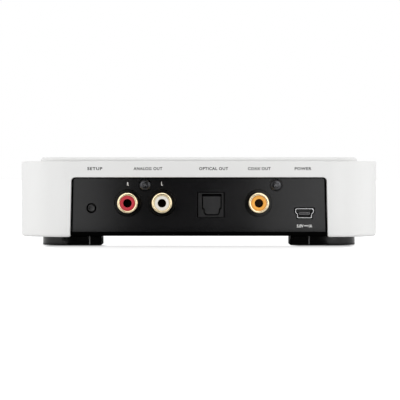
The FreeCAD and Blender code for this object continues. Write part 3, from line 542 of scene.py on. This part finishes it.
def screw_mesh(length):
    """A pan-head screw with a tapered cross recess. Its head ends at depth 0 and its shank runs along +Y."""
    bearing = HEAD_HEIGHT
    corners = (
        (0, 0, 0), (HEAD_RADIUS, HEAD_CROWN, HEAD_SHOULDER), (HEAD_RADIUS, bearing, HEAD_RIM_EDGE),
        (SHANK_RADIUS, bearing, 0), (SHANK_RADIUS, bearing + length - POINT_LENGTH, SHANK_EDGE),
        (SHANK_RADIUS / 2, bearing + length, POINT_EDGE), (0, bearing + length, 0),
    )
    blank = closed_mesh("screw_blank", turned_shape(corners, closed=False, steps=SCREW_STEPS))
    head = bpy.data.objects.new("screw_blank", blank)
    shape = bmesh.new()
    for turn in (0, 90):
        wing = bmesh.ops.create_cube(shape, size=1)["verts"]
        bmesh.ops.scale(shape, verts=wing, vec=(RECESS_LENGTH * MM, 2 * RECESS_DEPTH * MM, RECESS_WIDTH * MM))
        deep = [v for v in wing if v.co.y > 0]
        bmesh.ops.scale(shape, verts=deep, vec=(RECESS_TAPER, 1, RECESS_TAPER))
        about_axis = Matrix.Rotation(math.radians(turn), 3, "Y")
        bmesh.ops.rotate(shape, verts=wing, cent=(0, 0, 0), matrix=about_axis)
    cutter = bpy.data.objects.new("cross_cutter", closed_mesh("cross_cutter", shape))
    for helper in (head, cutter):
        bpy.context.scene.collection.objects.link(helper)
    cut = head.modifiers.new("cross_recess", "BOOLEAN")
    cut.operation = "DIFFERENCE"
    cut.solver = "EXACT"
    cut.use_self = True
    cut.object = cutter
    bpy.context.view_layer.update()
    mesh = bpy.data.meshes.new_from_object(head.evaluated_get(bpy.context.evaluated_depsgraph_get()))
    for helper in (head, cutter):
        bpy.data.objects.remove(helper)
    # The recess walls take painted shade and its floor a painted glint
    for face in mesh.polygons:
        across, deep, up = face.center / MM
        if RECESS_RIM < deep < HEAD_HEIGHT and math.hypot(across, up) < RECESS_LENGTH / 2:
            face.material_index = RECESS_FLOOR if deep > RECESS_DEPTH - SEAM else RECESS_WALL
    return mesh


def make_screws(name, node, places, heading, length):
    """A group of equal screws: each place is the middle of a head's top in mm, with its turn in degrees."""
    single = screw_mesh(length)
    shape = bmesh.new()
    for place, turn in places:
        known = len(shape.verts)
        shape.from_mesh(single)
        shape.verts.ensure_lookup_table()
        added = shape.verts[known:]
        move = Matrix.Translation(Vector(place) * MM) @ heading @ Matrix.Rotation(math.radians(turn), 4, "Y")
        bmesh.ops.transform(shape, matrix=move, verts=added)
    in_recess = [face.material_index for face in shape.faces]
    piece = placed(name, closed_mesh(name, shape), node_finish(node), CASE_BODY)
    for look in (zinc_recess_painted_shade, zinc_rubbed_and_painted_glint):
        piece.data.materials.append(look)
    piece.data.polygons.foreach_set("material_index", in_recess)
    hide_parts(node)


def make_all_screws():
    """The two panel screws, and the four that close the base from below."""
    low, high = (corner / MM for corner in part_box("panel_screws"))
    middle = (low.z + high.z) / 2
    panel_places = (
        ((low.x + HEAD_RADIUS, low.y, middle), LEFT_SCREW_TURN),
        ((high.x - HEAD_RADIUS, low.y, middle), RIGHT_SCREW_TURN),
    )
    make_screws("panel_screws_cross_head", "panel_screws", panel_places, Matrix.Identity(4),
                high.y - low.y - HEAD_HEIGHT)
    low, high = (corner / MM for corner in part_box("base_screws"))
    base_places = []
    for index, x in enumerate((low.x + HEAD_RADIUS, high.x - HEAD_RADIUS)):
        for y in (low.y + HEAD_RADIUS, high.y - HEAD_RADIUS):
            base_places.append(((x, y, low.z), BASE_SCREW_TURN + BASE_SCREW_TURN_STEP * index + y))
    upwards = Matrix.Rotation(math.radians(90), 4, "X")
    make_screws("base_screws_cross_head", "base_screws", base_places, upwards, high.z - low.z - HEAD_HEIGHT)


def block_shape(low, high):
    """A plain block between two corners in mm."""
    shape = bmesh.new()
    bmesh.ops.create_cube(shape, size=1)
    size = Vector(high) - Vector(low)
    bmesh.ops.scale(shape, verts=shape.verts, vec=size * MM)
    bmesh.ops.translate(shape, verts=shape.verts, vec=(Vector(low) + size / 2) * MM)
    return shape


def flat_box(name, low, high, edge, look, body):
    """A small block between two corners in mm, its edges rounded by a width unless that is 0."""
    shape = block_shape(low, high)
    if edge:
        bmesh.ops.bevel(shape, geom=shape.edges, offset=edge * MM, offset_type="OFFSET", affect="EDGES",
                        segments=EDGE_SEGMENTS, profile=ROUND_PROFILE, material=-1)
    return placed(name, closed_mesh(name, shape), look, body)


def label(name, words, across, height, cap_height, width, face_y, ink, weight, spacing=1.0):
    """Printed words on a face that looks to the rear: the place is their centre, sizes in mm.

    Weight thickens the strokes, as a share of the letters' height.
    """
    curve = bpy.data.curves.new(name + "_outline", "FONT")
    curve.body = words
    curve.extrude = INK_HEIGHT
    curve.offset = weight
    curve.space_character = spacing
    source = bpy.data.objects.new(name + "_outline", curve)
    bpy.context.scene.collection.objects.link(source)
    bpy.context.view_layer.update()
    mesh = bpy.data.meshes.new_from_object(source.evaluated_get(bpy.context.evaluated_depsgraph_get()))
    bpy.data.objects.remove(source)
    xs = [v.co.x for v in mesh.vertices]
    ys = [v.co.y for v in mesh.vertices]
    centre = Vector(((min(xs) + max(xs)) / 2, (min(ys) + max(ys)) / 2, 0))
    size = Matrix.Diagonal((width * MM / (max(xs) - min(xs)), cap_height * MM / (max(ys) - min(ys)), MM, 1))
    upright = Matrix.Rotation(math.radians(90), 4, "X")
    place = Matrix.Translation(Vector((across, face_y, height)) * MM)
    mesh.transform(place @ upright @ size @ Matrix.Translation(-centre))
    return placed(name, mesh, ink, CASE_BODY)


def print_labels():
    """The function labels: grey on the white shell, white on the black panel."""
    shell_words = (
        ("label_setup", "SETUP", -41.3, 6.0),
        ("label_analog", "ANALOG OUT", -20.25, 11.4),
        ("label_optical", "OPTICAL OUT", 5.8, 11.5),
        ("label_coax", "COAX OUT", 23.9, 9.0),
        ("label_power", "POWER", 41.25, 6.6),
    )
    for name, words, across, width in shell_words:
        label(name, words, across, SHELL_WORD_HEIGHT, SHELL_WORD_CAP, width, REAR_Y, grey_ink,
              LIGHT_STROKES, OPEN_SPACING)
    panel_words = (
        ("label_right", "R", -28.27, 24.5, 1.4, 0.7),
        ("label_left", "L", -14.7, 24.66, 1.5, 0.62),
        ("label_volts", "5.0V", 40.3, 7.8, 1.2, 2.7),
        ("label_amps", "1A", 44.4, 7.8, 1.2, 1.25),
    )
    for name, words, across, height, cap_height, width in panel_words:
        label(name, words, across, height, cap_height, width, PANEL_Y, white_ink, BOLD_STROKES)


def print_current_sign():
    """The white bar and dashes between the voltage and the current."""
    front = PANEL_Y - INK_HEIGHT
    back = PANEL_Y + INK_HEIGHT
    flat_box("label_direct_bar", (SIGN_START, front, BAR_LOW), (SIGN_END, back, BAR_HIGH), 0,
             white_ink, CASE_BODY)
    for index in range(DASHES):
        start = SIGN_START + index * DASH_PITCH
        name = "label_direct_dash_" + str(index + 1)
        flat_box(name, (start, front, DASH_LOW), (start + DASH_LENGTH, back, DASH_HIGH), 0,
                 white_ink, CASE_BODY)


def make_mould_lines():
    """The fine raised line down the rear face of each rear foot, pale as a painted highlight."""
    for side, across in MOULD_LINES.items():
        low = (across - MOULD_LINE_WIDTH / 2, FOOT_LOW.y - MOULD_LINE_HEIGHT, FOOT_LOW.z + MOULD_LINE_START)
        high = (across + MOULD_LINE_WIDTH / 2, FOOT_LOW.y + MOULD_LINE_HEIGHT, FOOT_HIGH.z)
        flat_box("foot_mould_line_" + side, low, high, MOULD_LINE_EDGE, mould_line_painted_highlight, CASE_BODY)


def ramp(tree, value, start, end, low, high):
    """A length in metres, turned from a stretch in mm into a range."""
    return add(tree, "MapRange", {"Value": value, "From Min": start * MM, "From Max": end * MM,
                                  "To Min": low, "To Max": high}).outputs["Result"]


def maths(tree, operation, *values):
    """The result of one sum on values or outputs."""
    return add(tree, "Math", dict(enumerate(values)), operation=operation).outputs[0]


def floor_white_less_painted_shadow(tree):
    """How much of the floor is plain white: less before the rear face, a painted shadow strip, and least
    before its feet, a painted contact shadow.
    """
    place = add(tree, "SeparateXYZ", {"Vector": add(tree, "TexCoord").outputs["Object"]})
    across = maths(tree, "ABSOLUTE", place.outputs["X"])
    outwards = maths(tree, "SUBTRACT", REAR_Y * MM, place.outputs["Y"])
    foot_face = REAR_Y - FOOT_LOW.y
    spread = ramp(tree, outwards, 0, SHADOW_FAR, SHADOW_SOFTNESS * MM, SHADOW_SPREAD * MM)
    past_end = maths(tree, "SUBTRACT", across, maths(tree, "SUBTRACT", FOOT_HIGH.x * MM, spread))
    beside = add(tree, "Clamp", {"Value": maths(tree, "DIVIDE", past_end, spread)}).outputs[0]
    under = ramp(tree, outwards, -SHADOW_SOFTNESS, 0, 1, 0)
    before = ramp(tree, outwards, SHADOW_NEAR, SHADOW_FAR, FLOOR_WHITE, 1)
    plain = maths(tree, "MAXIMUM", maths(tree, "MAXIMUM", beside, under), before)
    # A painted contact shadow: the floor's white falls away before each foot
    middle = (FOOT_LOW.x + FOOT_HIGH.x) / 2
    half = (FOOT_HIGH.x - FOOT_LOW.x) / 2
    from_foot = maths(tree, "ABSOLUTE", maths(tree, "SUBTRACT", across, middle * MM))
    painted_shadow_by_foot = ramp(tree, from_foot, half - SHADOW_SOFTNESS, half, 1, 0)
    nearer = ramp(tree, outwards, foot_face, PAINTED_CONTACT_SHADOW_REACH, 1, 0)
    past_foot = ramp(tree, outwards, foot_face - SHADOW_SOFTNESS, foot_face, 0, 1)
    contact = maths(tree, "MINIMUM", nearer, past_foot)
    shaded = maths(tree, "MULTIPLY", painted_shadow_by_foot, contact)
    return maths(tree, "MULTIPLY", plain, maths(tree, "SUBTRACT", 1.0, shaded))


def add_stage():
    """A white floor that keeps the real shadow and a painted one at the object's foot, and bounces light on
    all sides.
    """
    mesh = bpy.data.meshes.new("floor")
    shape = bmesh.new()
    bmesh.ops.create_grid(shape, x_segments=1, y_segments=1, size=FLOOR_REACH)
    shape.to_mesh(mesh)
    shape.free()
    floor = bpy.data.objects.new("floor", mesh)
    bpy.context.scene.collection.objects.link(floor)
    made, tree, output = material("pale_floor")
    seen = add(tree, "LightPath")
    matt = add(tree, "BsdfDiffuse", {"Color": linear("#fafafa")})
    shaded = add(tree, "BsdfDiffuse", {"Color": [FLOOR_SHADED] * 3 + [1.0]})
    white = add(tree, "Emission", {"Color": linear("#ffffff"), "Strength": floor_white_less_painted_shadow(tree)})
    shown = add(tree, "AddShader")
    tree.links.new(shaded.outputs[0], shown.inputs[0])
    tree.links.new(white.outputs[0], shown.inputs[1])
    picked = add(tree, "MixShader", {"Fac": seen.outputs["Is Camera Ray"]})
    tree.links.new(matt.outputs[0], picked.inputs[1])
    tree.links.new(shown.outputs[0], picked.inputs[2])
    tree.links.new(picked.outputs[0], output.inputs["Surface"])
    mesh.materials.append(made)


def add_dark_card(name, low, high, felt):
    """A dark card between two corners in mm. Only gloss shows it: it's clear to the camera and to light."""
    mesh = bpy.data.meshes.new(name)
    shape = block_shape(low, high)
    shape.to_mesh(mesh)
    shape.free()
    mesh.materials.append(felt)
    card = bpy.data.objects.new(name, mesh)
    bpy.context.scene.collection.objects.link(card)
    card.visible_camera = False
    card.visible_diffuse = False
    card.visible_shadow = False


def card_cloth(name, shade):
    """The cloth of the cards, which scatters what little light it takes."""
    made, tree, output = material(name)
    cloth = add(tree, "BsdfDiffuse", {"Color": linear(shade)})
    tree.links.new(cloth.outputs[0], output.inputs["Surface"])
    return made


def add_dark_cards():
    """What the feet and the panel mirror: strips by the feet, and cards on the way to the camera."""
    felt = card_cloth("black_felt_card", "#262626")
    grey_felt = card_cloth("grey_felt_card", "#757575")
    near = REAR_Y - STRIP_NEAR
    far = REAR_Y - STRIP_FAR
    path_end = REAR_Y - PATH_FAR
    path_start = REAR_Y - PATH_NEAR
    camera_face = REAR_Y - (PATH_FAR + CAMERA_CARD_THICKNESS)
    behind = REAR_Y + GROUND_BEHIND
    add_dark_card("foot_strip", (STRIP_LEFT, far, CARD_LOW), (STRIP_RIGHT, near, STRIP_TOP), felt)
    add_dark_card("foot_strip_end", (STRIP_END, far, CARD_LOW), (STRIP_LEFT, near, STRIP_TOP), grey_felt)
    add_dark_card("ground_strip", (STRIP_LEFT, near, CARD_LOW), (STRIP_RIGHT, behind, GROUND_TOP), felt)
    add_dark_card("path_card", (PATH_LEFT, path_end, CARD_LOW), (PATH_RIGHT, path_start, PATH_TOP), felt)
    add_dark_card("camera_card", (PATH_LEFT, camera_face, 0), (PATH_RIGHT, path_end, CAMERA_CARD_TOP), felt)


def add_world():
    """Even light from all round, as in a white tent. The camera and every mirror see it as white."""
    world = bpy.data.worlds.new("studio")
    world.use_nodes = True
    tree = world.node_tree
    tree.nodes.clear()
    seen = add(tree, "LightPath")
    straight = add(tree, "Math", {0: seen.outputs["Is Camera Ray"], 1: seen.outputs["Is Transmission Ray"]},
                   operation="MAXIMUM")
    clear = add(tree, "Math", {0: straight.outputs[0], 1: seen.outputs["Is Glossy Ray"]}, operation="MAXIMUM")
    facing = add(tree, "SeparateXYZ", {"Vector": add(tree, "TexCoord").outputs["Generated"]})
    even = add(tree, "MapRange", {"Value": facing.outputs["Z"], "From Min": 0.0, "From Max": 1.0,
                                  "To Min": AMBIENT_LOW, "To Max": AMBIENT_HIGH})
    strength = add(tree, "Mix", {0: clear.outputs[0], 2: even.outputs["Result"], 3: 1.0})
    light = add(tree, "Background", {"Color": linear("#ffffff"), "Strength": strength.outputs[0]})
    output = add(tree, "OutputWorld")
    tree.links.new(light.outputs[0], output.inputs["Surface"])
    bpy.context.scene.world = world


def add_softbox(name, place, aim, size, radiance, mirrored=True):
    """A rectangular lamp, its place, aim, and width and height in mm.

    One that isn't mirrored gives light, but leaves its place in gloss to the plain white around it.
    """
    data = bpy.data.lights.new(name, "AREA")
    data.shape = "RECTANGLE"
    data.size = size[0] * MM
    data.size_y = size[1] * MM
    data.energy = radiance * math.pi * data.size * data.size_y
    lamp = bpy.data.objects.new(name, data)
    lamp.location = Vector(place) * MM
    lamp.visible_camera = False
    lamp.visible_glossy = mirrored
    lamp.rotation_euler = (Vector(aim) - Vector(place)).to_track_quat("-Z", "Y").to_euler()
    bpy.context.scene.collection.objects.link(lamp)


def add_lamps():
    """Two boxes before the panel's ends, two beside the object and one above."""
    for side in (-1, 1):
        place = (side * FRONT_LAMP_ACROSS, REAR_Y - FRONT_LAMP_BEFORE, FRONT_LAMP_HEIGHT)
        aim = (side * FRONT_AIM_ACROSS, REAR_Y, LAMP_AIM_HEIGHT)
        add_softbox("front_softbox", place, aim, FRONT_LAMP_SIZE, FRONT_RADIANCE + FRONT_LEAN * side)
        place = (side * SIDE_LAMP_ACROSS, SIDE_LAMP_Y, SIDE_LAMP_HEIGHT)
        aim = (side * SIDE_AIM_ACROSS, SIDE_AIM_Y, LAMP_AIM_HEIGHT)
        add_softbox("side_softbox", place, aim, SIDE_LAMP_SIZE, SIDE_RADIANCE - SIDE_LEAN * side,
                    mirrored=False)
    add_softbox("top_softbox", TOP_LAMP_PLACE, TOP_LAMP_AIM, TOP_LAMP_SIZE, TOP_RADIANCE)


def add_camera():
    """The photograph's view: a little below the top edge, nearly square on to the socket panel."""
    data = bpy.data.cameras.new("camera")
    data.sensor_width = SENSOR
    data.lens = SENSOR * EYE_DISTANCE / (PHOTO_PIXELS * MM_PER_PIXEL)
    camera = bpy.data.objects.new("camera", data)
    eye = Vector((EYE_ACROSS, REAR_Y - EYE_DISTANCE, EYE_HEIGHT))
    aim = Vector((AIM_ACROSS, REAR_Y, AIM_HEIGHT))
    camera.location = eye * MM
    camera.rotation_euler = (aim - eye).to_track_quat("-Z", "Y").to_euler()
    bpy.context.scene.collection.objects.link(camera)
    bpy.context.scene.camera = camera


dress_frame()
for plain in ("shell", "top_cover"):
    eased(plain, 0)
eased("base_plate", MOULDED_EDGE)
painted_shade_behind(eased("rear_panel", MOULDED_EDGE), PANEL_Y + POLISHED_DEPTH, dull_black_abs_and_painted_shade)
for foot in ("foot_rear_left", "foot_rear_right", "foot_front_left", "foot_front_right"):
    painted_shade_on_inner_end(eased(foot, FOOT_EDGE), foot, dull_black_abs_and_painted_shade)
for housing in ("analog_jack_housing", "coax_jack_housing"):
    eased(housing, FINE_EDGE)
painted_shade_behind(eased("optical_housing", MOULDED_EDGE), PANEL_Y + SOCKET_RIM_DEPTH, dull_black_abs_and_painted_shade)
painted_highlight_on_edges(eased("usb_tongue", TONGUE_EDGE, reach=TONGUE_TIP), tongue_edge_painted_highlight)
painted_shade_behind(eased("usb_shell", PRESSED_EDGE), PANEL_Y + POLISHED_DEPTH, nickel_in_painted_shade)
eased("optical_flap", FINE_EDGE, FLAP_BODY)
for jack_colour in ("red", "white", "orange"):
    make_jack(jack_colour)
make_button()
make_all_screws()
make_mould_lines()
print_labels()
print_current_sign()
add_stage()
add_dark_cards()
add_world()
add_lamps()
add_camera()
bpy.context.scene.view_settings.view_transform = "Standard"
bpy.context.view_layer.update()
